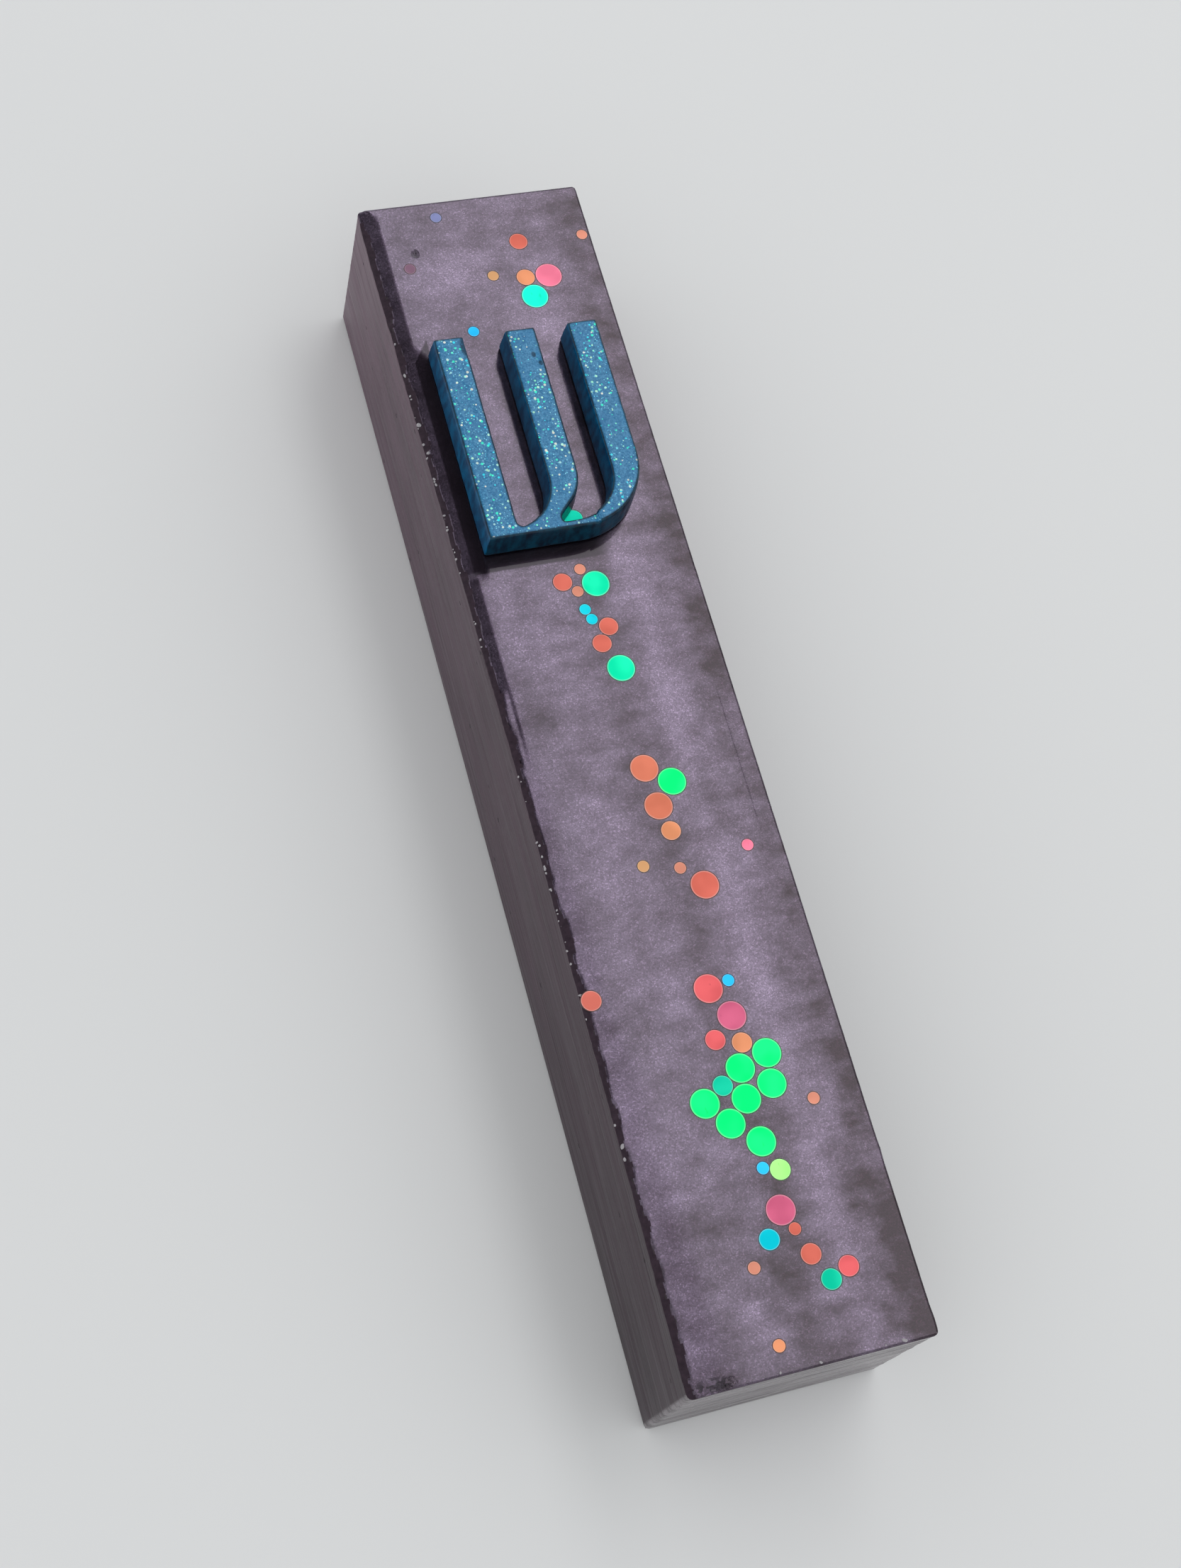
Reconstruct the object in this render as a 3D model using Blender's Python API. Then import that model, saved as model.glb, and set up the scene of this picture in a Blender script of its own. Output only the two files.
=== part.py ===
"""A cast resin mezuzah case, lying on its back with its front face up.

+X is across the width, +Y runs to the upper end and +Z out of the front. The origin is the centre of the
outer faces of the two mounting pads, which are the lowest plane. All sizes are in metres.
"""

import math

import bmesh
import bpy
from mathutils import Vector

# Case
CASE_LENGTH = 0.1300
CASE_WIDTH = 0.0250
CASE_DEPTH = 0.0198
CASE_EDGE = 0.0003
END_WALL = 0.0120

# Rolled parchment and the clear sleeve round it
ROLL_CORE_RADIUS = 0.0022
ROLL_TURNS = 5
ROLL_PITCH = 0.0006
ROLL_SIDES = 24
PARCHMENT_THICKNESS = 0.00025
SLEEVE_WALL = 0.00015
SLEEVE_ROOM = 0.0002
SLEEVE_OVERHANG = 0.0010
SLEEVE_SIDES = 40

# Scroll chamber, open at the back
CHAMBER_END_ROOM = 0.0045
CHAMBER_SIDE_ROOM = 0.0013
CHAMBER_TOP_ROOM = 0.0004

# Back cover, inset in a rebate round the chamber's mouth
COVER_THICKNESS = 0.0018
COVER_LEDGE = 0.0018
COVER_SUNK = 0.0002
COVER_CLEARANCE = 0.00015
NAIL_SLOT_LENGTH = 0.0120
NAIL_SLOT_REACH = 0.0011

# Adhesive pads, which stand a little proud of the back
PAD_THICKNESS = 0.0010
PAD_PROUD = 0.0002
PAD_SIDE_MARGIN = 0.0025
PAD_END_MARGIN = 0.0012
BOND_GAP = 0.0001

# Raised letter on the front face
LETTER_WIDTH = 0.0185
LETTER_LENGTH = 0.0245
LETTER_RISE = 0.0034
LETTER_DRAFT = 0.0002
LETTER_EDGE = 0.00025
LETTER_SHIFT = -0.00015
LETTER_PLACE = 0.5177
STROKE_WIDTH = 0.00375
LEFT_COUNTER = 0.0041
BAR_THICKNESS = 0.00125
HEEL_RADIUS = 0.0078
RIGHT_COUNTER_RADIUS = 0.0052
LEFT_COUNTER_RADIUS = 0.0051
COUNTER_CORNER = 0.0005
TAIL_RADIUS = 0.0052
TAIL_HEIGHT = 0.0056
TAIL_SWEEP = 50
NOTCH_OPENING = 0.0004
NOTCH_INSET = 0.0007

# Glitter discs, flush in the front face. Their radii and their spacing are in GLITTER_UNIT, so that the
# pattern grows as one.
GLITTER_UNIT = 0.0010
DISC_RADIUS = {"large": 1.45 * GLITTER_UNIT, "medium": 1.0 * GLITTER_UNIT, "small": 0.6 * GLITTER_UNIT}
DISC_THICKNESS = 0.00015
DISC_SUNK = 0.00005
DISC_CLEARANCE = 0.00006
DISC_SIDES = 16

# Planes and lengths that follow from the sizes above
BACK_Z = PAD_PROUD
FACE_Z = BACK_Z + CASE_DEPTH
HALF_LENGTH = CASE_LENGTH / 2
HALF_WIDTH = CASE_WIDTH / 2
CHAMBER_LENGTH = CASE_LENGTH - 2 * END_WALL
ROLL_RADIUS = ROLL_CORE_RADIUS + ROLL_TURNS * ROLL_PITCH + PARCHMENT_THICKNESS
SLEEVE_RADIUS = ROLL_RADIUS + SLEEVE_ROOM + SLEEVE_WALL
SLEEVE_LENGTH = CHAMBER_LENGTH - 2 * CHAMBER_END_ROOM
ROLL_LENGTH = SLEEVE_LENGTH - 2 * SLEEVE_OVERHANG
CHAMBER_WIDTH = 2 * (SLEEVE_RADIUS + CHAMBER_SIDE_ROOM)
COVER_Z = BACK_Z + COVER_SUNK
COVER_TOP_Z = COVER_Z + COVER_THICKNESS
REBATE_Z = COVER_TOP_Z + COVER_CLEARANCE
REBATE_LENGTH = CHAMBER_LENGTH + 2 * COVER_LEDGE
REBATE_WIDTH = CHAMBER_WIDTH + 2 * COVER_LEDGE
ROLL_Z = REBATE_Z + CHAMBER_TOP_ROOM + SLEEVE_RADIUS
CHAMBER_TOP_Z = ROLL_Z + SLEEVE_RADIUS + CHAMBER_TOP_ROOM
PAD_RECESS = PAD_THICKNESS - PAD_PROUD + BOND_GAP
PAD_ZONE = END_WALL - COVER_LEDGE
PAD_LENGTH = PAD_ZONE - 2 * PAD_END_MARGIN
PAD_WIDTH = CASE_WIDTH - 2 * PAD_SIDE_MARGIN
LETTER_CENTRE = Vector((LETTER_SHIFT, LETTER_PLACE * HALF_LENGTH))

COLOURS = {
    "green": (0.0, 0.85, 0.16),
    "turquoise": (0.0, 0.80, 0.62),
    "teal": (0.03, 0.45, 0.36),
    "cyan": (0.02, 0.50, 0.75),
    "blue": (0.04, 0.35, 0.85),
    "violet": (0.18, 0.18, 0.55),
    "lime": (0.40, 0.80, 0.08),
    "yellow": (0.80, 0.50, 0.08),
    "orange": (0.85, 0.25, 0.05),
    "coral": (0.85, 0.14, 0.07),
    "red": (0.80, 0.07, 0.06),
    "magenta": (0.62, 0.06, 0.14),
    "pink": (0.80, 0.08, 0.20),
    "salmon": (0.75, 0.25, 0.16),
}

# Each group of discs: its anchor on the front face, then (right, up) from there in GLITTER_UNIT, size, colour
DISC_GROUPS = [
    (
        Vector((0, HALF_LENGTH)),
        [
            (-4.1, -2.0, "small", "violet"),
            (4.2, -6.3, "medium", "coral"),
            (0.3, -10.25, "small", "yellow"),
            (3.8, -10.95, "medium", "orange"),
            (6.4, -11.05, "large", "pink"),
            (4.2, -13.45, "large", "turquoise"),
            (-8.5, -8.1, "small", "magenta"),
            (-3.6, -16.85, "small", "blue"),
        ],
    ),
    (Vector((HALF_WIDTH, HALF_LENGTH)), [(-1.0, -6.4, "small", "salmon")]),
    (LETTER_CENTRE, [(1.25, -9.4, "medium", "turquoise")]),
    (
        Vector((0, 0.192 * HALF_LENGTH)),
        [
            (0.2, 5.9, "small", "salmon"),
            (-2.0, 4.75, "medium", "coral"),
            (1.4, 4.0, "large", "green"),
            (-0.7, 3.45, "small", "salmon"),
            (-0.5, 1.3, "small", "cyan"),
            (-0.1, 0.1, "small", "cyan"),
            (1.4, -1.0, "medium", "coral"),
            (0.2, -2.75, "medium", "coral"),
            (1.4, -5.8, "large", "green"),
        ],
    ),
    (
        Vector((0, -0.169 * HALF_LENGTH)),
        [
            (0.7, 6.5, "large", "orange"),
            (3.1, 4.6, "large", "green"),
            (1.0, 2.3, "large", "orange"),
            (1.5, -0.5, "medium", "orange"),
            (-2.3, -3.6, "small", "yellow"),
            (8.75, -3.5, "small", "pink"),
            (1.3, -4.5, "small", "salmon"),
            (3.25, -6.7, "large", "coral"),
        ],
    ),
    (Vector((-HALF_WIDTH, -0.4125 * HALF_LENGTH)), [(1.4, 0.0, "medium", "salmon")]),
    (
        Vector((0, -0.6515 * HALF_LENGTH)),
        [
            (0.5, 14.3, "large", "red"),
            (2.7, 14.7, "small", "blue"),
            (2.0, 11.2, "large", "magenta"),
            (-0.3, 9.2, "medium", "red"),
            (2.2, 8.4, "medium", "orange"),
            (4.3, 6.9, "large", "green"),
            (1.3, 6.0, "large", "green"),
            (3.9, 3.9, "large", "green"),
            (-0.9, 4.7, "medium", "teal"),
            (-3.1, 3.4, "large", "green"),
            (1.0, 3.0, "large", "green"),
            (-1.2, 1.0, "large", "green"),
            (1.2, -1.3, "large", "green"),
            (7.5, 1.6, "small", "salmon"),
            (0.6, -3.8, "small", "blue"),
            (2.2, -4.3, "medium", "lime"),
            (1.1, -8.0, "large", "magenta"),
            (1.9, -10.0, "small", "coral"),
            (-0.8, -10.4, "medium", "cyan"),
            (2.7, -12.6, "medium", "coral"),
            (-3.0, -12.6, "small", "salmon"),
            (5.9, -14.5, "medium", "red"),
            (3.9, -15.3, "medium", "teal"),
        ],
    ),
    (Vector((0, -HALF_LENGTH)), [(-2.8, 2.7, "small", "orange")]),
]


def clear_scene():
    for obj in list(bpy.data.objects):
        bpy.data.objects.remove(obj, do_unlink=True)


def material(name, colour, roughness, transmission=0.0):
    made = bpy.data.materials.new(name)
    made.use_nodes = True
    shader = made.node_tree.nodes["Principled BSDF"]
    shader.inputs["Base Color"].default_value = (*colour, 1)
    shader.inputs["Roughness"].default_value = roughness
    shader.inputs["Metallic"].default_value = 0.0
    shader.inputs["Transmission Weight"].default_value = transmission
    return made


def place(name, bm, finish=None, location=(0, 0, 0)):
    """Turns a bmesh into a named object. One with no finish is a cutter and isn't rendered."""
    bmesh.ops.recalc_face_normals(bm, faces=bm.faces[:])
    mesh = bpy.data.meshes.new(name)
    bm.to_mesh(mesh)
    bm.free()
    obj = bpy.data.objects.new(name, mesh)
    obj.location = location
    bpy.context.scene.collection.objects.link(obj)
    if finish:
        mesh.materials.append(finish)
    else:
        obj.hide_render = True
        obj.display_type = "WIRE"
    return obj


def extrude_outline(bm, points, z_low, z_high):
    """Adds a closed prism over a flat outline of (x, y) points."""
    face = bm.faces.new([bm.verts.new((x, y, z_low)) for x, y in points])
    made = bmesh.ops.extrude_face_region(bm, geom=[face])["geom"]
    for vert in made:
        if isinstance(vert, bmesh.types.BMVert):
            vert.co.z = z_high


def add_box(bm, width, length, z_low, z_high, centre=(0, 0)):
    """Adds a box that is centred on a point of the XY plane."""
    x, y = centre
    right, up = width / 2, length / 2
    corners = [(x - right, y - up), (x + right, y - up), (x + right, y + up), (x - right, y + up)]
    extrude_outline(bm, corners, z_low, z_high)


def add_disc(bm, centre, radius, z_low, z_high):
    turns = [2 * math.pi * i / DISC_SIDES for i in range(DISC_SIDES)]
    rim = [(centre[0] + radius * math.cos(a), centre[1] + radius * math.sin(a)) for a in turns]
    extrude_outline(bm, rim, z_low, z_high)


def cut(obj, cutter):
    modifier = obj.modifiers.new("cut_" + cutter.name, "BOOLEAN")
    modifier.operation = "DIFFERENCE"
    modifier.solver = "EXACT"
    modifier.use_self = True
    modifier.object = cutter


def bevel(obj, width, segments):
    modifier = obj.modifiers.new("edges", "BEVEL")
    modifier.width = width
    modifier.segments = segments
    modifier.limit_method = "ANGLE"
    modifier.angle_limit = math.radians(40)


def discs():
    """Yields each glitter disc's centre on the front face, its size and its colour."""
    for anchor, group in DISC_GROUPS:
        for right, up, size, colour in group:
            yield anchor + Vector((right, up)) * GLITTER_UNIT, size, colour


def make_case(finish):
    bm = bmesh.new()
    add_box(bm, CASE_WIDTH, CASE_LENGTH, BACK_Z, FACE_Z)
    case = place("case_body", bm, finish)
    bevel(case, CASE_EDGE, 2)

    below = BACK_Z - CASE_EDGE
    bm = bmesh.new()
    add_box(bm, CHAMBER_WIDTH, CHAMBER_LENGTH, below, CHAMBER_TOP_Z)
    cut(case, place("chamber_cutter", bm))
    bm = bmesh.new()
    add_box(bm, REBATE_WIDTH, REBATE_LENGTH, below, REBATE_Z)
    cut(case, place("rebate_cutter", bm))
    bm = bmesh.new()
    add_box(bm, REBATE_WIDTH + 2 * NAIL_SLOT_REACH, NAIL_SLOT_LENGTH, below, COVER_TOP_Z)
    cut(case, place("nail_slot_cutter", bm))

    bm = bmesh.new()
    for y in pad_places():
        room = 2 * BOND_GAP
        add_box(bm, PAD_WIDTH + room, PAD_LENGTH + room, below, BACK_Z + PAD_RECESS, (0, y))
    cut(case, place("pad_cutter", bm))

    bm = bmesh.new()
    floor = FACE_Z - DISC_SUNK - DISC_THICKNESS - DISC_CLEARANCE
    for centre, size, _ in discs():
        add_disc(bm, centre, DISC_RADIUS[size] + DISC_CLEARANCE, floor, FACE_Z + CASE_EDGE)
    cut(case, place("disc_cutter", bm))


def pad_places():
    """The middle of each pad along the case, between the cover's rebate and the end."""
    reach = HALF_LENGTH - PAD_ZONE / 2
    return (reach, -reach)


def make_pads(finish):
    for name, y in zip(("mounting_pad_upper", "mounting_pad_lower"), pad_places()):
        bm = bmesh.new()
        add_box(bm, PAD_WIDTH, PAD_LENGTH, 0, PAD_THICKNESS, (0, y))
        place(name, bm, finish)


def make_cover(finish):
    bm = bmesh.new()
    width = REBATE_WIDTH - 2 * COVER_CLEARANCE
    length = REBATE_LENGTH - 2 * COVER_CLEARANCE
    add_box(bm, width, length, 0, COVER_THICKNESS)
    cover = place("back_cover", bm, finish, (0, 0, COVER_Z))
    bevel(cover, CASE_EDGE, 1)


def sweep_round(bm, sections, closed):
    """Joins sections round the Z axis into one solid. A section is its turn and its (radius, z) corners."""
    loops = []
    for turn, corners in sections:
        x, y = math.cos(2 * math.pi * turn), math.sin(2 * math.pi * turn)
        loops.append([bm.verts.new((radius * x, radius * y, z)) for radius, z in corners])
    following = loops[1:] + loops[:1] if closed else loops[1:]
    for loop, after in zip(loops, following):
        for i in range(len(loop)):
            j = (i + 1) % len(loop)
            bm.faces.new((loop[i], loop[j], after[j], after[i]))
    if not closed:
        bm.faces.new(loops[0])
        bm.faces.new(loops[-1])


def wall_section(inner, thickness, length):
    outer, half = inner + thickness, length / 2
    return [(inner, -half), (outer, -half), (outer, half), (inner, half)]


def lay_along_case(obj):
    """Turns a piece made along Z so that it runs along the case."""
    obj.rotation_euler = (math.radians(90), 0, 0)


def make_roll(finish):
    """The parchment: one sheet wound into a spiral."""
    sections = []
    for step in range(ROLL_TURNS * ROLL_SIDES + 1):
        turn = step / ROLL_SIDES
        inner = ROLL_CORE_RADIUS + ROLL_PITCH * turn
        sections.append((turn, wall_section(inner, PARCHMENT_THICKNESS, ROLL_LENGTH)))
    bm = bmesh.new()
    sweep_round(bm, sections, closed=False)
    lay_along_case(place("parchment_scroll", bm, finish, (0, 0, ROLL_Z)))


def make_sleeve(finish):
    """A thin open tube round the parchment."""
    wall = wall_section(SLEEVE_RADIUS - SLEEVE_WALL, SLEEVE_WALL, SLEEVE_LENGTH)
    bm = bmesh.new()
    sweep_round(bm, [(step / SLEEVE_SIDES, wall) for step in range(SLEEVE_SIDES)], closed=True)
    lay_along_case(place("scroll_sleeve", bm, finish, (0, 0, ROLL_Z)))


def arc(centre, radius, start, end, steps):
    """Points on an arc, from start to end degrees."""
    angles = [math.radians(start + (end - start) * i / steps) for i in range(steps + 1)]
    return [(centre[0] + radius * math.cos(a), centre[1] + radius * math.sin(a)) for a in angles]


def letter_outline():
    """The letter's outline at the face, counter-clockwise, with its lower left corner at (0, 0)."""
    middle_left = STROKE_WIDTH + LEFT_COUNTER
    middle_right = middle_left + STROKE_WIDTH
    right_left = LETTER_WIDTH - STROKE_WIDTH
    bar = BAR_THICKNESS
    heel_centre = (LETTER_WIDTH - HEEL_RADIUS, HEEL_RADIUS)
    right_centre = (right_left - RIGHT_COUNTER_RADIUS, bar + RIGHT_COUNTER_RADIUS)
    tail_centre = (middle_right - TAIL_RADIUS, bar + TAIL_HEIGHT)
    left_centre = (middle_left - LEFT_COUNTER_RADIUS, bar + LEFT_COUNTER_RADIUS)
    notch = middle_left + NOTCH_INSET
    return [
        (0, 0),
        *arc(heel_centre, HEEL_RADIUS, -90, 0, 12),
        (LETTER_WIDTH, LETTER_LENGTH),
        (right_left, LETTER_LENGTH),
        *arc(right_centre, RIGHT_COUNTER_RADIUS, 0, -90, 10),
        (notch, bar),
        (notch, bar + NOTCH_OPENING),
        *arc(tail_centre, TAIL_RADIUS, -TAIL_SWEEP, 0, 7),
        (middle_right, LETTER_LENGTH),
        (middle_left, LETTER_LENGTH),
        *arc(left_centre, LEFT_COUNTER_RADIUS, 0, -75, 9),
        (STROKE_WIDTH, bar + COUNTER_CORNER),
        (STROKE_WIDTH, LETTER_LENGTH),
        (0, LETTER_LENGTH),
    ]


def inset(points, distance):
    """Moves each side of a counter-clockwise outline inwards by the same distance."""
    moved = []
    count = len(points)
    for i in range(count):
        before, here, after = (Vector(points[(i + k) % count]) for k in (-1, 0, 1))
        one, two = (here - before).normalized(), (after - here).normalized()
        left_one, left_two = Vector((-one.y, one.x)), Vector((-two.y, two.x))
        middle = (left_one + left_two).normalized()
        moved.append(here + middle * distance / middle.dot(left_one))
    return moved


def make_letter(finish):
    base = letter_outline()
    bm = bmesh.new()
    rings = []
    for points, z in ((base, 0), (inset(base, LETTER_DRAFT), LETTER_RISE)):
        rings.append([bm.verts.new((x - LETTER_WIDTH / 2, y - LETTER_LENGTH / 2, z)) for x, y in points])
    low, high = rings
    bm.faces.new(low)
    bm.faces.new(high)
    for i in range(len(low)):
        j = (i + 1) % len(low)
        bm.faces.new((low[i], low[j], high[j], high[i]))
    letter = place("shin_letter", bm, finish, (*LETTER_CENTRE, FACE_Z + BOND_GAP))
    bevel(letter, LETTER_EDGE, 2)


def make_discs():
    finishes = {name: material("glitter_" + name, colour, 0.25) for name, colour in COLOURS.items()}
    top = -DISC_SUNK
    for number, (centre, size, colour) in enumerate(discs(), start=1):
        bm = bmesh.new()
        add_disc(bm, (0, 0), DISC_RADIUS[size], top - DISC_THICKNESS, top)
        place(f"glitter_{number:02d}_{size}_{colour}", bm, finishes[colour], (*centre, FACE_Z))


def main():
    clear_scene()
    make_case(material("plum_resin", (0.045, 0.026, 0.050), 0.28))
    make_letter(material("blue_glitter_resin", (0.02, 0.16, 0.32), 0.22))
    make_discs()
    make_cover(material("cover_plastic", (0.035, 0.022, 0.040), 0.5))
    make_roll(material("parchment", (0.80, 0.70, 0.52), 0.75))
    make_sleeve(material("clear_film", (0.90, 0.93, 0.95), 0.1, transmission=0.9))
    make_pads(material("foam_adhesive", (0.75, 0.76, 0.74), 0.85))


main()
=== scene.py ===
"""The looks of a cast resin mezuzah case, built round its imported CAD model.

The frame is the CAD's: +X across the width, +Y to the upper end and +Z out of the front, in metres. Shapes
and patterns are given in millimetres and turned into metres by MM.
"""

import math
import random

import bmesh
import bpy
from mathutils import Matrix, Vector, noise


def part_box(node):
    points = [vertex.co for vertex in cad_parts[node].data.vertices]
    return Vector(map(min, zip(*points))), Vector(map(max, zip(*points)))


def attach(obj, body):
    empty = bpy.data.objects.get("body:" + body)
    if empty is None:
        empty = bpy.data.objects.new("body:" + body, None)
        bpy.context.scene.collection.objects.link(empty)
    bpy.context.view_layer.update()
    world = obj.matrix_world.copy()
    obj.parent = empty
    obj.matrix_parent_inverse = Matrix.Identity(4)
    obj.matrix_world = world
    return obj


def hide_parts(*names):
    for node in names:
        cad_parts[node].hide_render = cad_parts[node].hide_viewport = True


MM = 0.001

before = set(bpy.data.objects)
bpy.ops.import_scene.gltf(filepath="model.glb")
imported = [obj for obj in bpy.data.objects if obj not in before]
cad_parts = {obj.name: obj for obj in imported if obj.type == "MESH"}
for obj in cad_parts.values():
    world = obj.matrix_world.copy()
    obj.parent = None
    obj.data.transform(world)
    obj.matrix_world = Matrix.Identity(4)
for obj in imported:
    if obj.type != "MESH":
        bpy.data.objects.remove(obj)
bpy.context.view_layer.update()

CASE_LOW, CASE_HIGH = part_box("case_body")
HALF_WIDTH = CASE_HIGH.x / MM
HALF_LENGTH = CASE_HIGH.y / MM
BACK = CASE_LOW.z / MM
FACE = CASE_HIGH.z / MM

# Camera: where it stands, the point that it looks at, how far it is rolled in degrees, and its lens
CAMERA_PLACE = Vector((-66.41, -82.30, 229.98)) * MM
CAMERA_TARGET = Vector((-5.15, -5.08, 20.0)) * MM
CAMERA_ROLL = 25.05
CAMERA_LENS = 53.59
CAMERA_SENSOR = 36

# Light: a tall softbox, a pale room with one dim patch, and the table. Sizes are in metres, and the patch's
# outer and inner reach are in degrees
SOFTBOX_DIRECTION = Vector((0.34, 0.33, 0.87))
SOFTBOX_DISTANCE = 1.0
SOFTBOX_SIZE = (0.24, 0.84)
SOFTBOX_RADIANCE = 1.65
WORLD_COLOUR = (0.97, 0.99, 1.0)
WORLD_STRENGTH = 0.85
DIM_DIRECTION = Vector((-0.06, 0.44, 0.90))
DIM_STRENGTH = 0.06
DIM_REACH = (20.0, 10.0)
FLOOR_SIZE = 3.0
FLOOR_COLOUR = (0.80, 0.80, 0.80)

# Edges of the cast block, in mm. Its left front edge bows in, and has a sloped band and a broken lip
CORNER_RADIUS = 0.6
BACK_EDGE_RADIUS = 0.5
FRONT_EDGE_RADIUS = 0.12
RIGHT_INSET = 0.08
BOW_DEPTH = 0.45
BOW_CENTRE = -10.0
LIP_WIDTH = 0.62
LIP_DEPTH = 0.34
BAND_LINE = 10.6
BAND_ANGLE = 7.0
BAND_END = 6.6
BAND_TOP = 63.6
BAND_BESIDE = 1.35
BAND_BESIDE_SPAN = (19.2, 47.2)
FRONT_FADE = 1.0
LAYER_PITCH = 0.2
SHARP_ANGLE = 32
ON_FACE = 1e-6

# What is cut out of the block's back, in mm: corner radii, walls that are left, and room round each piece
CHAMBER_HALF_WIDTH = 7.1
CHAMBER_CORNER = 0.8
CHAMBER_END_WALL = 12.0
CHAMBER_FRONT_WALL = 5.25
COVER_ROOM = 0.15
REBATE_CORNER = 0.7
NAIL_SLOT_REACH = 1.1
NAIL_SLOT_HALF_LENGTH = 6.0
NAIL_SLOT_CORNER = 1.0
PAD_ROOM = 0.1
PAD_RECESS_CORNER = 0.9
CUT_PAST_BACK = 1.0

# The block's material slots
FRONT, WALL, CHIP = 0, 1, 2

# Beads at places of their own, in mm: x, y and radius along the left edge, x and radius along the lower one.
# The others are scattered along the left edge
LEFT_BEADS = [
    (-12.0, 38.1, 0.26),
    (-12.1, 44.2, 0.17),
    (-12.0, 41.3, 0.14),
    (-11.9, 34.6, 0.24),
    (-12.0, 30.8, 0.15),
    (-12.0, 27.2, 0.13),
    (-11.9, -41.1, 0.24),
]
LOWER_BEADS = [(0.6, 0.16), (9.0, 0.20), (-3.4, 0.10), (7.1, 0.09)]
SCATTERED_BEADS = 46

# The letter, in mm. Its foot has a notch, and each hollow has x, y, reach across, reach along and depth
LETTER_VOXEL = 0.12
SOFTEN_STEPS = 11
NOTCH_X = 2.95
NOTCH_Y = 23.6
NOTCH_DEPTH = 0.75
NOTCH_RUN = 0.7
HOLLOWS = [(-6.1, 44.3, 0.5, 1.2, 0.10), (1.25, 41.8, 0.4, 0.8, 0.08)]
TOP_SPREAD_STEPS = 8

# The glitter discs, in mm: how deep they go, how proud they stand, and the width of the ring of painted
# shade round each
DISC_SIDES = 64
DISC_WOBBLE = 0.012
DISC_DEPTH = 0.06
DISC_PROUD = 0.016
SHADE_RING_WIDTH = 0.08

# The back cover, in mm
COVER_CORNER = 0.6
COVER_EDGE = 0.22
COVER_CHAMFER = 0.35

# The parchment's spiral and its sleeve, in mm
ROLL_CORE = 2.25
ROLL_PITCH = 0.59
ROLL_TURNS = 5
ROLL_TURN_STEPS = 72
ROLL_ROWS = 24
ROLL_THICKNESS = 0.22
ROLL_END_ROOM = 0.35
SLEEVE_START = math.radians(60)
SLEEVE_STEPS = 120
SLEEVE_LAP_STEPS = 8
SLEEVE_ROWS = 48
SLEEVE_INSET = 0.21
SLEEVE_LAP = 0.09
SLEEVE_THICKNESS = 0.06

# The foam pads, in mm
PAD_CORNER = 0.8
PAD_BULGE = 0.10
PAD_SIDE_INSET = 0.12

# Marks in the front's colour, in mm. A spot has x, y, reach across, reach along and softness, and a span has
# its two ends. Beside the letter's left side and under its foot the colour is darkened: a painted shadow of
# the letter
PIT = (-7.5, 58.7, 0.5, 0.65, 0.9)
BROKEN_CORNER = (-9.8, -64.3, 2.5, 0.8, 0.7)
LETTER_SHADOW_LEFT_ACROSS, LETTER_SHADOW_LEFT_ALONG = (-10.75, -8.9), (19.6, 60.0)
LETTER_SHADOW_FOOT_ACROSS, LETTER_SHADOW_FOOT_ALONG = (-10.75, 3.5), (19.6, 22.0)

# Spots of the letter's top with no glitter: x, y, reach across, reach along
BARE_SPOTS = [(-6.1, 44.3, 0.55, 1.5), (1.0, 42.3, 0.32, 0.42), (1.5, 41.2, 0.3, 0.42)]

# The letter's flakes: their size in mm, how much of it a flake fills, and their two tints
FLAKES = [
    (0.30, 0.20, ((0.10, 0.50, 0.72), (0.24, 0.66, 0.80))),
    (0.60, 0.23, ((0.04, 0.78, 0.55), (0.42, 0.78, 0.62))),
    (0.72, 0.19, ((0.03, 0.66, 0.82), (0.66, 0.70, 0.62))),
]

# The pearl's soft patches on the front: x, y, reach across, reach along, how much lighter
PEARL_PATCHES = [
    (-5.5, 55.5, 3.2, 2.6, 0.34),
    (-0.5, 57.0, 3.0, 2.0, 0.20),
    (5.8, 55.0, 1.8, 1.8, 0.20),
    (4.5, 48.0, 2.6, 2.6, 0.22),
    (-7.0, 61.5, 4.0, 1.2, 0.05),
    (-6.5, 11.0, 3.0, 3.2, 0.14),
    (-9.0, 2.4, 3.6, 1.1, -0.26),
    (-2.2, 4.5, 1.6, 2.6, 0.10),
    (4.6, 1.0, 1.2, 4.2, 0.18),
    (-6.0, -10.0, 3.2, 4.5, 0.10),
    (-9.5, -20.5, 2.2, 2.2, -0.16),
    (2.5, -13.0, 2.6, 2.4, -0.10),
    (6.2, -19.5, 1.2, 3.0, 0.14),
    (-8.6, -29.5, 2.2, 1.6, -0.10),
    (6.2, -28.5, 1.4, 3.4, 0.20),
    (4.6, -35.0, 2.0, 2.0, 0.14),
    (-3.0, -38.5, 1.6, 1.6, -0.10),
    (3.2, -41.5, 1.6, 1.1, -0.18),
    (-6.0, -43.5, 2.6, 2.4, 0.12),
    (-6.2, -50.5, 4.2, 1.2, -0.22),
    (5.6, -46.5, 1.8, 1.6, 0.14),
    (-1.2, -55.4, 1.5, 1.5, -0.26),
    (-5.6, -55.6, 1.8, 1.2, 0.16),
    (-4.4, -58.8, 1.3, 1.2, 0.40),
    (-2.6, -61.4, 1.1, 1.0, 0.36),
    (3.0, -58.8, 2.8, 1.0, 0.34),
    (6.2, -55.8, 1.4, 1.5, 0.36),
]

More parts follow.
